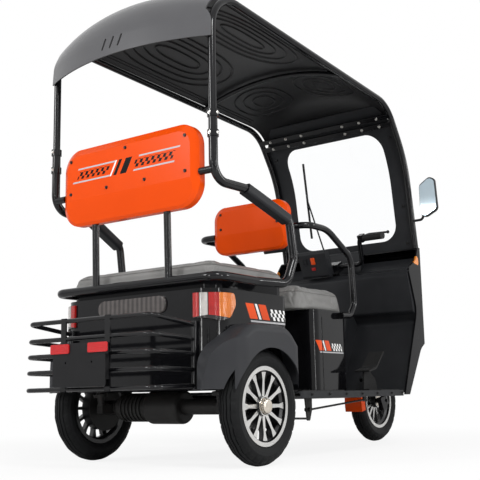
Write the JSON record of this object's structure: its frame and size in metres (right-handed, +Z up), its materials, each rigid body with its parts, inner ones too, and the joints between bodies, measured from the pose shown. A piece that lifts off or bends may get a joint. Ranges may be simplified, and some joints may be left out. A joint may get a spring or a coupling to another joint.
{
  "type": "electric passenger tricycle",
  "caption": "Open-sided electric tricycle with a steered front wheel, driver's seat, rear bench, arched roof on a tube frame, windscreen and slatted rear bumper.",
  "frame": {"origin": "on the ground under the middle of the overall box", "axes": "+X forward towards the front wheel, +Y to the driver's left, +Z up"},
  "size_m": [2.27, 1.0424, 1.7398],
  "materials": {
    "orange_plastic": "glossy moulded orange",
    "gloss_black": "gloss black paint on steel tube",
    "body_black": "gloss black moulded panel",
    "dark_plastic": "fine-grained dark grey plastic",
    "grip_rubber": "soft black rubber",
    "grey_vinyl": "grey vinyl upholstery",
    "axle_metal": "black painted castings",
    "battery_case": "plain black case",
    "alloy": "cast alloy, machined faces",
    "tyre_rubber": "black tyre rubber",
    "clear_glass": "clear pane",
    "mirror_glass": "mirror glass",
    "red_lens": "red lens",
    "amber_lens": "amber lens",
    "smoked_lens": "smoked lens"
  },
  "bodies": {
    "chassis": {"armrest_pads": "dark_plastic", "battery_pack": "battery_case", "brake_pedal": "grip_rubber", "brake_linkage": "axle_metal", "centre_lens": "smoked_lens", "chassis_frame": "gloss_black", "drive_motor": "axle_metal", "driver_armrests": "gloss_black", "driver_backrest_pad": "grey_vinyl", "driver_backrest_shell": "orange_plastic", "driver_seat_base": "body_black", "driver_seat_cushion": "grey_vinyl", "floor_panel": "dark_plastic", "front_cowl": "body_black", "front_turn_lamps": "amber_lens", "headlamps": "clear_glass", "instrument_panel": "dark_plastic", "leg_shield": "dark_plastic", "mirror_glasses": "mirror_glass", "mirror_housings": "dark_plastic", "passenger_frame_left": "gloss_black", "passenger_frame_right": "gloss_black", "plate_holder": "dark_plastic", "plate_reflectors": "red_lens", "rear_axle_housing": "axle_metal", "rear_backrest_pad": "grey_vinyl", "rear_backrest_shell": "orange_plastic", "rear_body": "body_black", "rear_bumper": "gloss_black", "rear_fender_left": "dark_plastic", "rear_fender_right": "dark_plastic", "rear_seat_base": "body_black", "rear_seat_cushion": "grey_vinyl", "rear_shocks": "axle_metal", "roof_bows": "gloss_black", "roof_panel": "dark_plastic", "roof_rail_left": "gloss_black", "roof_rail_right": "gloss_black", "seat_rail": "gloss_black", "tail_lamps": "red_lens", "windscreen_frame": "dark_plastic", "windscreen_glass": "clear_glass", "wiper": "dark_plastic"},
    "steering": {"front_fork": "gloss_black", "handlebar": "gloss_black", "handle_grips": "grip_rubber", "switch_box": "dark_plastic", "front_fender": "orange_plastic"},
    "front_wheel": {"front_rim": "alloy", "front_tyre": "tyre_rubber"},
    "rear_left_wheel": {"rear_left_rim": "alloy", "rear_left_tyre": "tyre_rubber"},
    "rear_right_wheel": {"rear_right_rim": "alloy", "rear_right_tyre": "tyre_rubber"}
  },
  "joints": [
    {"name": "steer", "type": "hinge", "parent": "chassis", "child": "steering", "pos_m": [0.90683, 0, 0.19073], "axis": [-0.4384, 0, 0.8988], "range_deg": [-35, 35]},
    {"name": "front_wheel_spin", "type": "hinge", "parent": "steering", "child": "front_wheel", "pos_m": [0.932, 0, 0.203], "axis": [0, 1, 0], "continuous": true},
    {"name": "rear_left_spin", "type": "hinge", "parent": "chassis", "child": "rear_left_wheel", "pos_m": [-0.66, 0.3975, 0.203], "axis": [0, 1, 0], "continuous": true},
    {"name": "rear_right_spin", "type": "hinge", "parent": "chassis", "child": "rear_right_wheel", "pos_m": [-0.66, -0.3975, 0.203], "axis": [0, 1, 0], "continuous": true}
  ]
}
